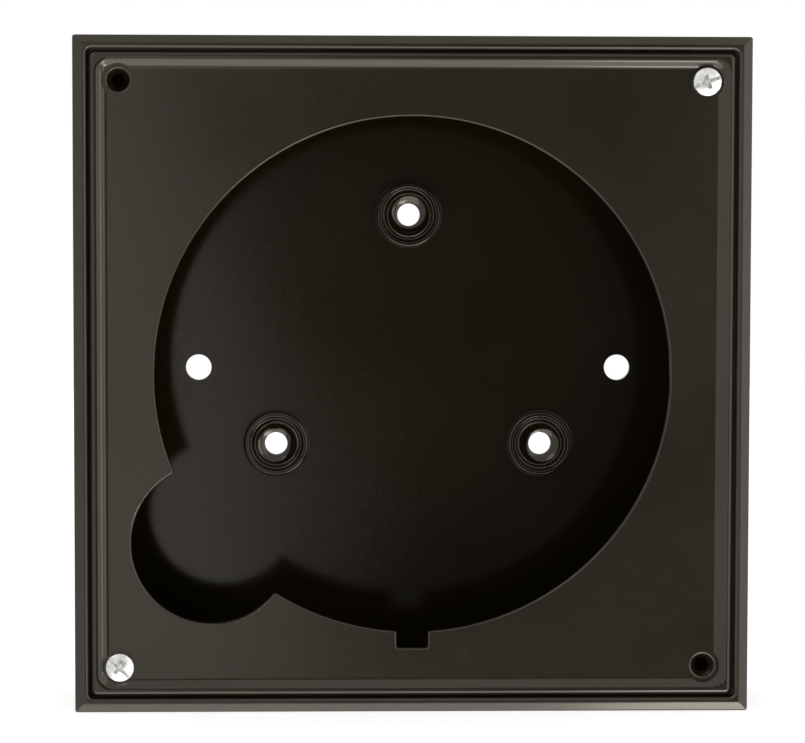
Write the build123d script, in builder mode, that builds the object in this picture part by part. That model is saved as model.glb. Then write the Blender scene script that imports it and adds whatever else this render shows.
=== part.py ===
from build123d import *
import os
from math import atan2, cos, degrees, hypot, radians, sin, sqrt, tan

# Surface conduit box, in millimetres. The origin is the centre of the wall face,
# +Z is up, +X is to the right as the box is seen, and the open front faces -Y.
# Front views are sketched on planes that stand some height off the wall face.

# Box
box_side = 200.0
box_depth = 50.0
box_sheet = 2.0
outer_corner_radius = 0.9
back_bend_radius = 3.0

# Rim, which is the side sheet hemmed back on itself, and the ledge folded in from it. The
# rim's front falls away a little towards the outside, up to a soft crest
rim_width = 2 * box_sheet
rim_fall_width = 2.5
rim_fall = 0.42
rim_crest_round = 5.0
rim_edge_round = 0.5
rim_round = 1.0
recess_corner_radius = 1.6
ledge_width = 8.0
tab_side = 20.0
tab_corner_radius = 5.0

# Cover, a tray with its edge turned up and hemmed, set back inside the rim. The edge is
# two sheets thick with a round top, and runs down to the flat in one soft double curve
cover_sheet = 1.4
cover_recess = 2.6
cover_gap = 0.25
cover_corner_radius = 2.2
edge_height = 1.2
edge_top_width = 2 * cover_sheet
edge_foot_width = 4.6
edge_round = 1.7
edge_crest_round = 3.0
edge_foot_round = 3.5
edge_back_round = 0.7
edge_pocket_radius = 2.0

# Opening in the cover: a circle, a round lobe beside it and a notch below it. The webs
# are what is left of the flat sheet at their narrowest, beside the upturned edge
opening_web = 14.65
lobe_web = 7.7
lobe_radius = 23.75
lobe_angle = 220.0
cusp_round = 0.8
notch_width = 9.3
notch_depth = 4.9
notch_round = 0.7
opening_edge_round = 0.6

# Cover fixings, one hole in each corner of the cover over a threaded tab of the ledge.
# A round spot face round each hole cuts into the upturned edge and clears the screw head
fixing_inset = 4.35
spot_clearance = 0.8
fixing_hole_radius = 3.25
fixing_hole_round = 0.75
screw_radius = 2.0
thread_clearance = 0.05
collar_radius = 4.5
collar_height = 5.0
collar_countersink = 1.3

# Screw, pan head with a cross recess and a slot
head_radius = 4.2
head_height = 2.6
head_crown = 1.0
head_edge_round = 0.4
screw_length = 11.0
screw_tip = 0.6
slot_width = 1.1
slot_depth = 1.3
cross_span = 4.6
cross_width = 1.2
cross_depth = 1.7
cross_taper = 14.0
upper_screw_turn = 20.0
lower_screw_turn = -45.0

# Back wall: two plain fixing holes, and three dished bosses that carry the device
wall_hole_spacing = 131.0
wall_hole_radius = 4.0
boss_circle_radius = 47.7
boss_count = 3
boss_start_angle = 90.0
boss_radius = 10.5
boss_height = 3.0
boss_flank = 0.6
boss_crest_width = 1.4
boss_groove_radius = 7.9
boss_groove_height = 1.5
boss_hole_radius = 3.5
boss_hole_height = 0.6
dish_radius = 6.6
dish_height = 2.3
dish_sag = 0.35
dish_round = 0.3
boss_groove_round = 0.4
boss_inner_round = 0.45
boss_outer_round = 0.7
hollow_outer_radius = 8.8
hollow_inner_radius = 5.4
hollow_depth = 1.5

# Concentric conduit knockouts, one pair in each side wall
knockout_outer_radius = 14.1
knockout_inner_radius = 11.1
knockout_groove = 0.5
knockout_groove_depth = 1.4
knockout_tie = 3.0

# Heights off the wall face, and the sizes that follow from the values above
cover_face = box_depth - cover_recess
ledge_face = cover_face - cover_sheet
ledge_back = ledge_face - box_sheet
inner_side = box_side - 2 * rim_width
cavity_side = box_side - 2 * box_sheet
window_side = inner_side - 2 * ledge_width
cover_side = inner_side - 2 * cover_gap
edge_pocket_side = cover_side - 2 * edge_foot_width
edge_flank_angle = degrees(atan2(edge_foot_width - edge_top_width, edge_height))
fixing_spacing = edge_pocket_side - 2 * fixing_inset
spot_radius = head_radius + spot_clearance
knockout_height = (box_sheet + ledge_back) / 2
thread_hole_radius = screw_radius + thread_clearance
opening_radius = edge_pocket_side / 2 - opening_web
lobe_x = -(edge_pocket_side / 2 - lobe_web - lobe_radius)
lobe_z = lobe_x * tan(radians(lobe_angle))


def front(height):
    """Front-view plane at a height off the wall face: local x is right, local y is up."""
    return Plane.XZ.offset(height)


def at_height(edges, height):
    """Those edges that lie at one height off the wall face."""
    return edges.filter_by_position(Axis.Y, -height - 0.01, -height + 0.01)


def side_plane(x, z):
    """Plane on the outer face of the side wall that faces (x, z), over its conduit entry."""
    origin = (x * box_side / 2, -knockout_height, z * box_side / 2)
    return Plane(origin=origin, x_dir=(0, -1, 0), z_dir=(x, 0, z))


def on_lobe(vertex):
    """True for a corner of the opening where the lobe meets the circle."""
    return abs(hypot(vertex.X - lobe_x, vertex.Y - lobe_z) - lobe_radius) < 0.01


def on_notch(vertex):
    """True for a corner of the notch in the opening."""
    return abs(abs(vertex.X) - notch_width / 2) < 0.01 and vertex.Y < 0


# Boss as it stands on the floor, turned about its own hole: a rounded rim, a groove
# and a dish that falls to the hole
with BuildPart() as boss_form:
    with BuildSketch(Plane.XZ) as boss_profile:
        crest_outer = boss_radius - boss_flank
        crest_inner = crest_outer - boss_crest_width
        dish_low = (boss_hole_radius, boss_hole_height)
        dish_top = (dish_radius, dish_height)
        dish_middle = ((boss_hole_radius + dish_radius) / 2,
                       (boss_hole_height + dish_height) / 2 - dish_sag)
        groove = (boss_groove_radius, boss_groove_height)
        with BuildLine():
            ThreePointArc(dish_low, dish_middle, dish_top)
            Polyline(dish_top, groove, (crest_inner, boss_height), (crest_outer, boss_height),
                     (boss_radius, 0), (boss_radius, -box_sheet),
                     (boss_hole_radius, -box_sheet), dish_low)
        make_face()
        for corner, radius in ((dish_top, dish_round), (groove, boss_groove_round),
                               ((crest_inner, boss_height), boss_inner_round),
                               ((crest_outer, boss_height), boss_outer_round)):
            fillet(boss_profile.vertices().sort_by_distance(corner)[0], radius)
    revolve(axis=Axis.Z)

# Hollow that the pressed boss leaves in the wall side of the sheet
with BuildPart() as boss_hollow:
    with BuildSketch(Plane.XZ):
        with BuildLine():
            Polyline((hollow_inner_radius, -box_sheet),
                     (hollow_inner_radius + hollow_depth / 2, hollow_depth - box_sheet),
                     (hollow_outer_radius - hollow_depth / 2, hollow_depth - box_sheet),
                     (hollow_outer_radius, -box_sheet), close=True)
        make_face()
    revolve(axis=Axis.Z)

# Grooves of one pair of knockouts: two ties break each ring, and the pairs of ties are crossed
with BuildSketch() as knockout_rings:
    for ring_radius, tie_turn in ((knockout_outer_radius, 0), (knockout_inner_radius, 90)):
        with BuildSketch(mode=Mode.PRIVATE) as ring:
            Circle(ring_radius + knockout_groove / 2)
            Circle(ring_radius - knockout_groove / 2, mode=Mode.SUBTRACT)
            Rectangle(3 * ring_radius, knockout_tie, rotation=tie_turn, mode=Mode.SUBTRACT)
        add(ring.sketch)

# Box: back and side walls, hemmed rim, ledge with threaded corner tabs
with BuildPart() as back_box:
    with BuildSketch(front(0)):
        Rectangle(box_side, box_side)
    extrude(amount=box_depth)
    fillet(at_height(back_box.edges(), 0), back_bend_radius)
    front_face = back_box.faces().sort_by(Axis.Y)[0]
    chamfer(at_height(back_box.edges(), box_depth), rim_fall_width, rim_fall, reference=front_face)
    fillet(at_height(back_box.edges(), box_depth), rim_crest_round)
    fillet(at_height(back_box.edges(), box_depth - rim_fall), rim_edge_round)
    with BuildSketch(front(0)):
        RectangleRounded(box_side, box_side, outer_corner_radius)
    extrude(amount=box_depth, mode=Mode.INTERSECT)

    # Recess for the cover, down to the ledge
    with BuildSketch(front(ledge_face)):
        RectangleRounded(inner_side, inner_side, recess_corner_radius)
    extrude(amount=cover_sheet + cover_recess, mode=Mode.SUBTRACT)
    fillet(at_height(back_box.edges(Select.LAST), box_depth), rim_round)

    # Cavity behind the ledge, with the inside of the back bends
    with BuildSketch(front(box_sheet)):
        Rectangle(cavity_side, cavity_side)
    extrude(amount=ledge_back - box_sheet, mode=Mode.SUBTRACT)
    fillet(at_height(back_box.edges(Select.LAST), box_sheet), back_bend_radius - box_sheet)

    # Window in the ledge, which leaves a tab in each corner
    with BuildSketch(front(ledge_back)):
        Rectangle(window_side, window_side)
        with GridLocations(inner_side - tab_side, inner_side - tab_side, 2, 2):
            RectangleRounded(tab_side, tab_side, tab_corner_radius, mode=Mode.SUBTRACT)
    extrude(amount=box_sheet, mode=Mode.SUBTRACT)

    # Threaded collar drawn down from each tab
    with BuildSketch(front(ledge_back - collar_height)):
        with GridLocations(fixing_spacing, fixing_spacing, 2, 2):
            Circle(collar_radius)
    extrude(amount=collar_height)
    with Locations(front(ledge_face)):
        with GridLocations(fixing_spacing, fixing_spacing, 2, 2):
            Hole(thread_hole_radius, box_sheet + collar_height)
    chamfer(at_height(back_box.edges(Select.LAST), ledge_face), collar_countersink)

    # Bosses and fixing holes in the back wall
    with Locations(front(box_sheet)):
        with PolarLocations(boss_circle_radius, boss_count, boss_start_angle):
            add(boss_form.part)
            add(boss_hollow.part, mode=Mode.SUBTRACT)
            Hole(boss_hole_radius, box_sheet)
        with GridLocations(wall_hole_spacing, 0, 2, 1):
            Hole(wall_hole_radius, box_sheet)

    # Knockout rings in the four side walls
    with BuildSketch(side_plane(1, 0), side_plane(0, 1), side_plane(-1, 0), side_plane(0, -1)):
        add(knockout_rings.sketch)
    extrude(amount=-knockout_groove_depth, mode=Mode.SUBTRACT)

# Cover: a shallow tray with its edge turned up, pierced by the opening
with BuildPart() as cover_plate:
    with BuildSketch(front(ledge_face)):
        RectangleRounded(cover_side, cover_side, cover_corner_radius)
    extrude(amount=cover_sheet + edge_height)
    fillet(at_height(cover_plate.edges(), ledge_face), edge_back_round)
    fillet(at_height(cover_plate.edges(), cover_face + edge_height), edge_round)
    with BuildSketch(front(cover_face)):
        RectangleRounded(edge_pocket_side, edge_pocket_side, edge_pocket_radius)
    extrude(amount=edge_height, taper=-edge_flank_angle, mode=Mode.SUBTRACT)
    pocket_edges = cover_plate.edges(Select.LAST)
    fillet(at_height(pocket_edges, cover_face + edge_height), edge_crest_round)
    fillet(at_height(cover_plate.edges(), cover_face), edge_foot_round)

    # Opening: its two points are slightly rounded and its front edge is broken
    with BuildSketch(front(ledge_face)) as opening:
        Circle(opening_radius)
        with Locations((lobe_x, lobe_z)):
            Circle(lobe_radius)
        with Locations((0, -opening_radius)):
            Rectangle(notch_width, 2 * notch_depth)
        fillet(opening.vertices().filter_by(on_lobe), cusp_round)
        fillet(opening.vertices().filter_by(on_notch), notch_round)
    extrude(amount=cover_sheet, mode=Mode.SUBTRACT)
    fillet(at_height(cover_plate.edges(Select.LAST), cover_face), opening_edge_round)

    # Spot faces, and clearance holes for the fixing screws with rounded mouths
    with BuildSketch(front(cover_face)):
        with GridLocations(fixing_spacing, fixing_spacing, 2, 2):
            Circle(spot_radius)
    extrude(amount=edge_height, mode=Mode.SUBTRACT)
    with Locations(front(cover_face)):
        with GridLocations(fixing_spacing, fixing_spacing, 2, 2):
            Hole(fixing_hole_radius, cover_sheet)
    fillet(at_height(cover_plate.edges(Select.LAST), cover_face), fixing_hole_round)

# Screw: pan head over a plain shank that stands for the thread
with BuildPart() as screw_form:
    crown_radius = (head_radius ** 2 + head_crown ** 2) / (2 * head_crown)
    crown_middle = head_height - crown_radius + sqrt(crown_radius ** 2 - head_radius ** 2 / 4)
    shoulder = (head_radius, head_height - head_crown)
    with BuildSketch(Plane.XZ) as screw_profile:
        with BuildLine():
            Polyline((0, head_height), (0, -screw_length), (screw_radius - screw_tip, -screw_length),
                     (screw_radius, screw_tip - screw_length), (screw_radius, 0), (head_radius, 0),
                     shoulder)
            ThreePointArc(shoulder, (head_radius / 2, crown_middle), (0, head_height))
        make_face()
        fillet(screw_profile.vertices().sort_by_distance(shoulder)[0], head_edge_round)
    revolve(axis=Axis.Z)
    with BuildSketch(Plane.XY.offset(head_height)):
        Rectangle(3 * head_radius, slot_width)
    extrude(amount=-slot_depth, mode=Mode.SUBTRACT)
    with BuildSketch(Plane.XY.offset(head_height)):
        Rectangle(cross_span, cross_width)
        Rectangle(cross_width, cross_span)
    extrude(amount=-cross_depth, taper=cross_taper, mode=Mode.SUBTRACT)


def screw_seat(x, z, turn):
    """Plane under a screw head, in the fixing corner towards (x, z), turned about the screw."""
    direction = (cos(radians(turn)), 0, sin(radians(turn)))
    corner = (x * fixing_spacing / 2, -cover_face, z * fixing_spacing / 2)
    return Plane(origin=corner, x_dir=direction, z_dir=(0, -1, 0))


with BuildPart() as screw_upper_right:
    with Locations(screw_seat(1, 1, upper_screw_turn)):
        add(screw_form.part)

with BuildPart() as screw_lower_left:
    with Locations(screw_seat(-1, -1, lower_screw_turn)):
        add(screw_form.part)

back_box.part.label = "back_box"
cover_plate.part.label = "cover_plate"
screw_upper_right.part.label = "screw_upper_right"
screw_lower_left.part.label = "screw_lower_left"

os.makedirs("parts", exist_ok=True)
export_step(back_box.part, "parts/back_box.step")
export_step(cover_plate.part, "parts/cover_plate.step")
export_step(screw_upper_right.part, "parts/screw_upper_right.step")
export_step(screw_lower_left.part, "parts/screw_lower_left.step")
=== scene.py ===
from math import pi, radians

import bpy
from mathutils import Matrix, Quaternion, Vector


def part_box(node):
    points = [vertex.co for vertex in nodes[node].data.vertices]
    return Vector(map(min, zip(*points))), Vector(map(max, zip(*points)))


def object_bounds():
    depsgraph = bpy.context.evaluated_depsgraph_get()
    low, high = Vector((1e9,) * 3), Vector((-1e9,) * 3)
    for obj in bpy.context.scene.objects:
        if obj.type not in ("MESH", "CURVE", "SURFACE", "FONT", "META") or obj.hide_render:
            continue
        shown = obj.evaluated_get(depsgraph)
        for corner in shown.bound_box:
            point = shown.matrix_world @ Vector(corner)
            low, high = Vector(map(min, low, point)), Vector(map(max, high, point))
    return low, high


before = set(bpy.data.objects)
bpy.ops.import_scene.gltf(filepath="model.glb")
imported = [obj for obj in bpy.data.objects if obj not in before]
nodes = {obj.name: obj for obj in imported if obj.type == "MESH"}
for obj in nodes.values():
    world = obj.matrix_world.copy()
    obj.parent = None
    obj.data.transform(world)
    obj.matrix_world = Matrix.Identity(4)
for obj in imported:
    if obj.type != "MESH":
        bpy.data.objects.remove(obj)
cad_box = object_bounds()

MM = 0.001
low, high = cad_box
rim_y = low.y
floor_z = low.z
centre_x = (low.x + high.x) / 2
centre_z = (low.z + high.z) / 2
cover_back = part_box("cover_plate")[1].y

# Camera: just left of and above the middle of the box, looking almost straight into it. The
# roll is in degrees
camera_distance = 781.6 * MM
camera_side = -25.3 * MM
camera_rise = 44.4 * MM
target_side = -3.12 * MM
target_rise = 1.3 * MM
camera_roll = 0.11
camera_lens = 118.62

# Tent: its brightness, and the edges of its dim mouth as parts of a unit direction. Each edge
# is soft, and the left one leans above its foot
tent_level = 0.755
mouth_level = 0.058
mouth_left = -0.0445
mouth_left_soft = 0.02
mouth_lean = 0.30
mouth_lean_foot = -0.10
mouth_right = 0.34
mouth_top = 0.30
mouth_bottom = -0.30
mouth_soft = 0.05

# Floor: half the side of its square, how far it lies below the box, and the white that it
# shows of itself, on top of the light that falls on it
floor_reach = 1.5
floor_drop = 0.05 * MM
floor_white = 0.53

# Softboxes: side, distance ahead of the rim, height, width, tall side, and brightness, where 1
# is as bright as a white surface shows
lamps = {
    "low": (0.0, 0.75, -0.53, 1.0, 0.26, 1.66),
    "low_right": (0.34, 0.76, -0.53, 0.40, 0.26, 4.62),
    "lower": (0.0, 0.48, -0.80, 1.0, 0.46, 1.62),
    "right": (0.80, 0.50, 0.10, 0.34, 0.9, 1.46),
    "right_front": (0.42, 0.80, 0.05, 0.28, 0.9, 0.79),
    "upper_left": (-0.7, 0.6, 0.9, 0.6, 0.6, 1.16),
}

# Paint: its darkest and lightest tones, its flecks, a darker colour inside the box that is painted
# shade for its recess, and how matte it is
deep_bronze = (0.0136, 0.0109, 0.0073)
worn_bronze = (0.0184, 0.0149, 0.0106)
fleck_bronze = (0.049, 0.043, 0.034)
inner_painted_shade = (0.0065, 0.0043, 0.0013)
paint_matte = 0.14
inner_matte = -0.015


def add_camera():
    data = bpy.data.cameras.new("camera")
    data.lens = camera_lens
    data.sensor_width = 36.0
    data.clip_start = 0.01
    data.clip_end = 50.0
    camera = bpy.data.objects.new("camera", data)
    place = Vector((centre_x + camera_side, rim_y - camera_distance, centre_z + camera_rise))
    target = Vector((centre_x + target_side, rim_y, centre_z + target_rise))
    camera.location = place
    camera.rotation_mode = "QUATERNION"
    aim = (target - place).to_track_quat("-Z", "Y")
    camera.rotation_quaternion = aim @ Quaternion((0, 0, 1), radians(camera_roll))
    bpy.context.scene.collection.objects.link(camera)
    bpy.context.scene.camera = camera


# Node helpers
def new_material(name):
    material = bpy.data.materials.new(name)
    material.use_nodes = True
    tree = material.node_tree
    return material, tree, tree.nodes["Principled BSDF"]


def link(tree, source, target):
    tree.links.new(source, target)


def place_in_object(tree):
    """Position on the piece, in metres, from the object's own coordinates."""
    return tree.nodes.new("ShaderNodeTexCoord").outputs["Object"]


def noise(tree, where, scale, detail=3.0, roughness=0.5):
    node = tree.nodes.new("ShaderNodeTexNoise")
    node.inputs["Scale"].default_value = scale
    node.inputs["Detail"].default_value = detail
    node.inputs["Roughness"].default_value = roughness
    link(tree, where, node.inputs["Vector"])
    return node.outputs["Fac"]


def spread(tree, value, low_in, high_in, low_out, high_out):
    node = tree.nodes.new("ShaderNodeMapRange")
    node.interpolation_type = "SMOOTHSTEP"
    node.inputs["From Min"].default_value = low_in
    node.inputs["From Max"].default_value = high_in
    node.inputs["To Min"].default_value = low_out
    node.inputs["To Max"].default_value = high_out
    link(tree, value, node.inputs["Value"])
    return node.outputs["Result"]


def mix_colour(tree, factor, first, second):
    node = tree.nodes.new("ShaderNodeMix")
    node.data_type = "RGBA"
    for socket, colour in ((node.inputs[6], first), (node.inputs[7], second)):
        if isinstance(colour, tuple):
            socket.default_value = (*colour, 1.0)
        else:
            link(tree, colour, socket)
    link(tree, factor, node.inputs[0])
    return node.outputs[2]


def maths(tree, operation, first, second):
    node = tree.nodes.new("ShaderNodeMath")
    node.operation = operation
    for socket, value in zip(node.inputs, (first, second)):
        if isinstance(value, (int, float)):
            socket.default_value = value
        else:
            link(tree, value, socket)
    return node.outputs[0]


def bump(tree, height, distance, onto=None):
    node = tree.nodes.new("ShaderNodeBump")
    node.inputs["Distance"].default_value = distance
    node.inputs["Strength"].default_value = 1.0
    link(tree, height, node.inputs["Height"])
    if onto is not None:
        link(tree, onto, node.inputs["Normal"])
    return node.outputs["Normal"]


def inside_box(tree, where):
    """1 on the surfaces inside the box, and 0 on its outside, its rim and the cover."""
    split = tree.nodes.new("ShaderNodeSeparateXYZ")
    link(tree, where, split.inputs[0])
    across = maths(tree, "ABSOLUTE", split.outputs["X"], 0.0)
    along = maths(tree, "ABSOLUTE", split.outputs["Z"], 0.0)
    within = maths(tree, "LESS_THAN", maths(tree, "MAXIMUM", across, along), high.x - 1.0 * MM)
    behind_rim = maths(tree, "GREATER_THAN", split.outputs["Y"], cover_back + 0.2 * MM)
    before_wall = maths(tree, "LESS_THAN", split.outputs["Y"], high.y - 1.0 * MM)
    return maths(tree, "MULTIPLY", within, maths(tree, "MULTIPLY", behind_rim, before_wall))


def dark_paint(name, has_painted_inner_shade):
    """Satin dark bronze powder coat with a faint orange peel, a little glossier inside the box,
    where its colour is darker as painted shade.
    """
    material, tree, shader = new_material(name)
    where = place_in_object(tree)
    cloud = noise(tree, where, 18.0, 4.0)
    grain = noise(tree, where, 1400.0, 2.0)
    peel = noise(tree, where, 420.0, 2.0)
    tone = spread(tree, cloud, 0.3, 0.7, 0.0, 1.0)
    body = mix_colour(tree, tone, deep_bronze, worn_bronze)
    fleck = spread(tree, grain, 0.62, 0.78, 0.0, 0.12)
    coat = mix_colour(tree, fleck, body, fleck_bronze)
    matte = spread(tree, cloud, 0.25, 0.75, paint_matte - 0.02, paint_matte + 0.02)
    matte = maths(tree, "ADD", matte, spread(tree, grain, 0.3, 0.7, -0.02, 0.02))
    rub = noise(tree, where, 55.0, 6.0, 0.7)
    matte = maths(tree, "ADD", matte, spread(tree, rub, 0.58, 0.70, 0.0, 0.03))
    if has_painted_inner_shade:
        inside = inside_box(tree, where)
        # Painted shade: the box's inside gets a darker colour in place of the shade in its recess
        coat = mix_colour(tree, inside, coat, inner_painted_shade)
        matte = maths(tree, "ADD", matte, maths(tree, "MULTIPLY", inside, inner_matte))
    link(tree, coat, shader.inputs["Base Color"])
    link(tree, matte, shader.inputs["Roughness"])
    shader.inputs["Specular IOR Level"].default_value = 0.65
    shader.inputs["Specular Tint"].default_value = (1.0, 0.93, 0.82, 1.0)
    fine = bump(tree, grain, 0.0015 * MM)
    link(tree, bump(tree, peel, 0.004 * MM, onto=fine), shader.inputs["Normal"])
    return material


def zinc():
    """Bright zinc plate, finely mottled and lightly scuffed."""
    material, tree, shader = new_material("zinc")
    where = place_in_object(tree)
    mottle = noise(tree, where, 900.0, 3.0)
    scuff = noise(tree, where, 2600.0, 2.0)
    link(tree, mix_colour(tree, spread(tree, mottle, 0.3, 0.7, 0.0, 1.0),
                          (0.74, 0.75, 0.73), (0.90, 0.90, 0.87)), shader.inputs["Base Color"])
    shader.inputs["Metallic"].default_value = 1.0
    link(tree, spread(tree, mottle, 0.3, 0.7, 0.26, 0.38), shader.inputs["Roughness"])
    link(tree, bump(tree, scuff, 0.008 * MM), shader.inputs["Normal"])
    return material


def dress(node, material):
    mesh = nodes[node].data
    mesh.materials.clear()
    mesh.materials.append(material)


# Studio: a pale floor, a white surround and soft lamps
def floor_material():
    """Pale floor: it takes the box's shadow, and shows white where nothing shades it."""
    material, tree, shader = new_material("floor")
    shader.inputs["Base Color"].default_value = (0.86, 0.86, 0.85, 1.0)
    shader.inputs["Roughness"].default_value = 0.9
    shader.inputs["Specular IOR Level"].default_value = 0.1
    path = tree.nodes.new("ShaderNodeLightPath")
    seen = maths(tree, "MAXIMUM", path.outputs["Is Camera Ray"], path.outputs["Is Glossy Ray"])
    seen = maths(tree, "MAXIMUM", seen, path.outputs["Is Transmission Ray"])
    shader.inputs["Emission Color"].default_value = (1.0, 1.0, 1.0, 1.0)
    link(tree, maths(tree, "MULTIPLY", seen, floor_white), shader.inputs["Emission Strength"])
    return material


def add_floor():
    """A wide sheet just under the box. It casts no shadow and shows in no reflection, so that
    the low lamps reach the box."""
    near, far = -floor_reach, floor_reach
    mesh = bpy.data.meshes.new("floor")
    corners = [(near, near, 0), (far, near, 0), (far, far, 0), (near, far, 0)]
    mesh.from_pydata(corners, [], [(0, 1, 2, 3)])
    mesh.materials.append(floor_material())
    floor = bpy.data.objects.new("floor", mesh)
    floor.location = (0, 0, floor_z - floor_drop)
    bpy.context.scene.collection.objects.link(floor)
    floor.visible_glossy = False
    floor.visible_shadow = False


def add_world():
    """A white tent, with a dim soft-edged mouth ahead of the box, where its camera stands. The
    camera itself sees it all white."""
    world = bpy.data.worlds.new("studio")
    world.use_nodes = True
    bpy.context.scene.world = world
    tree = world.node_tree
    background = tree.nodes["Background"]
    background.inputs["Color"].default_value = (1.0, 1.0, 1.0, 1.0)
    split = tree.nodes.new("ShaderNodeSeparateXYZ")
    link(tree, tree.nodes.new("ShaderNodeTexCoord").outputs["Generated"], split.inputs[0])
    side, ahead, rise = split.outputs
    lean = maths(tree, "MULTIPLY", maths(tree, "MAXIMUM", rise, mouth_lean_foot), mouth_lean)
    leaning = maths(tree, "ADD", side, lean)
    outside = spread(tree, ahead, -0.6, -0.3, 0.0, 1.0)
    for value, edge, soft, before, after in (
            (leaning, mouth_left, mouth_left_soft, 1.0, 0.0),
            (side, mouth_right, mouth_soft, 0.0, 1.0),
            (rise, mouth_top, mouth_soft, 0.0, 1.0),
            (rise, mouth_bottom, mouth_soft, 1.0, 0.0)):
        beyond = spread(tree, value, edge - soft, edge + soft, before, after)
        outside = maths(tree, "MAXIMUM", outside, beyond)
    tent = maths(tree, "MULTIPLY", outside, tent_level - mouth_level)
    tent = maths(tree, "ADD", tent, mouth_level)
    camera = tree.nodes.new("ShaderNodeLightPath").outputs["Is Camera Ray"]
    link(tree, maths(tree, "MAXIMUM", camera, tent), background.inputs["Strength"])


def add_lamp(name, side, ahead, rise, width, tall, brightness):
    """Softbox of an even brightness, turned to the middle of the box's front."""
    data = bpy.data.lights.new(name, "AREA")
    data.shape = "RECTANGLE"
    data.size = width
    data.size_y = tall
    data.energy = brightness * pi * width * tall
    lamp = bpy.data.objects.new(name, data)
    place = Vector((side, rim_y - ahead, rise))
    lamp.location = place
    lamp.rotation_mode = "QUATERNION"
    lamp.rotation_quaternion = (Vector((0, rim_y, 0)) - place).to_track_quat("-Z", "Y")
    bpy.context.scene.collection.objects.link(lamp)


add_camera()

dress("back_box", dark_paint("box_paint", has_painted_inner_shade=True))
dress("cover_plate", dark_paint("cover_paint", has_painted_inner_shade=False))
screw_metal = zinc()
dress("screw_upper_right", screw_metal)
dress("screw_lower_left", screw_metal)

add_floor()
add_world()
for name, values in lamps.items():
    add_lamp(name, *values)

bpy.context.scene.view_settings.view_transform = "Standard"
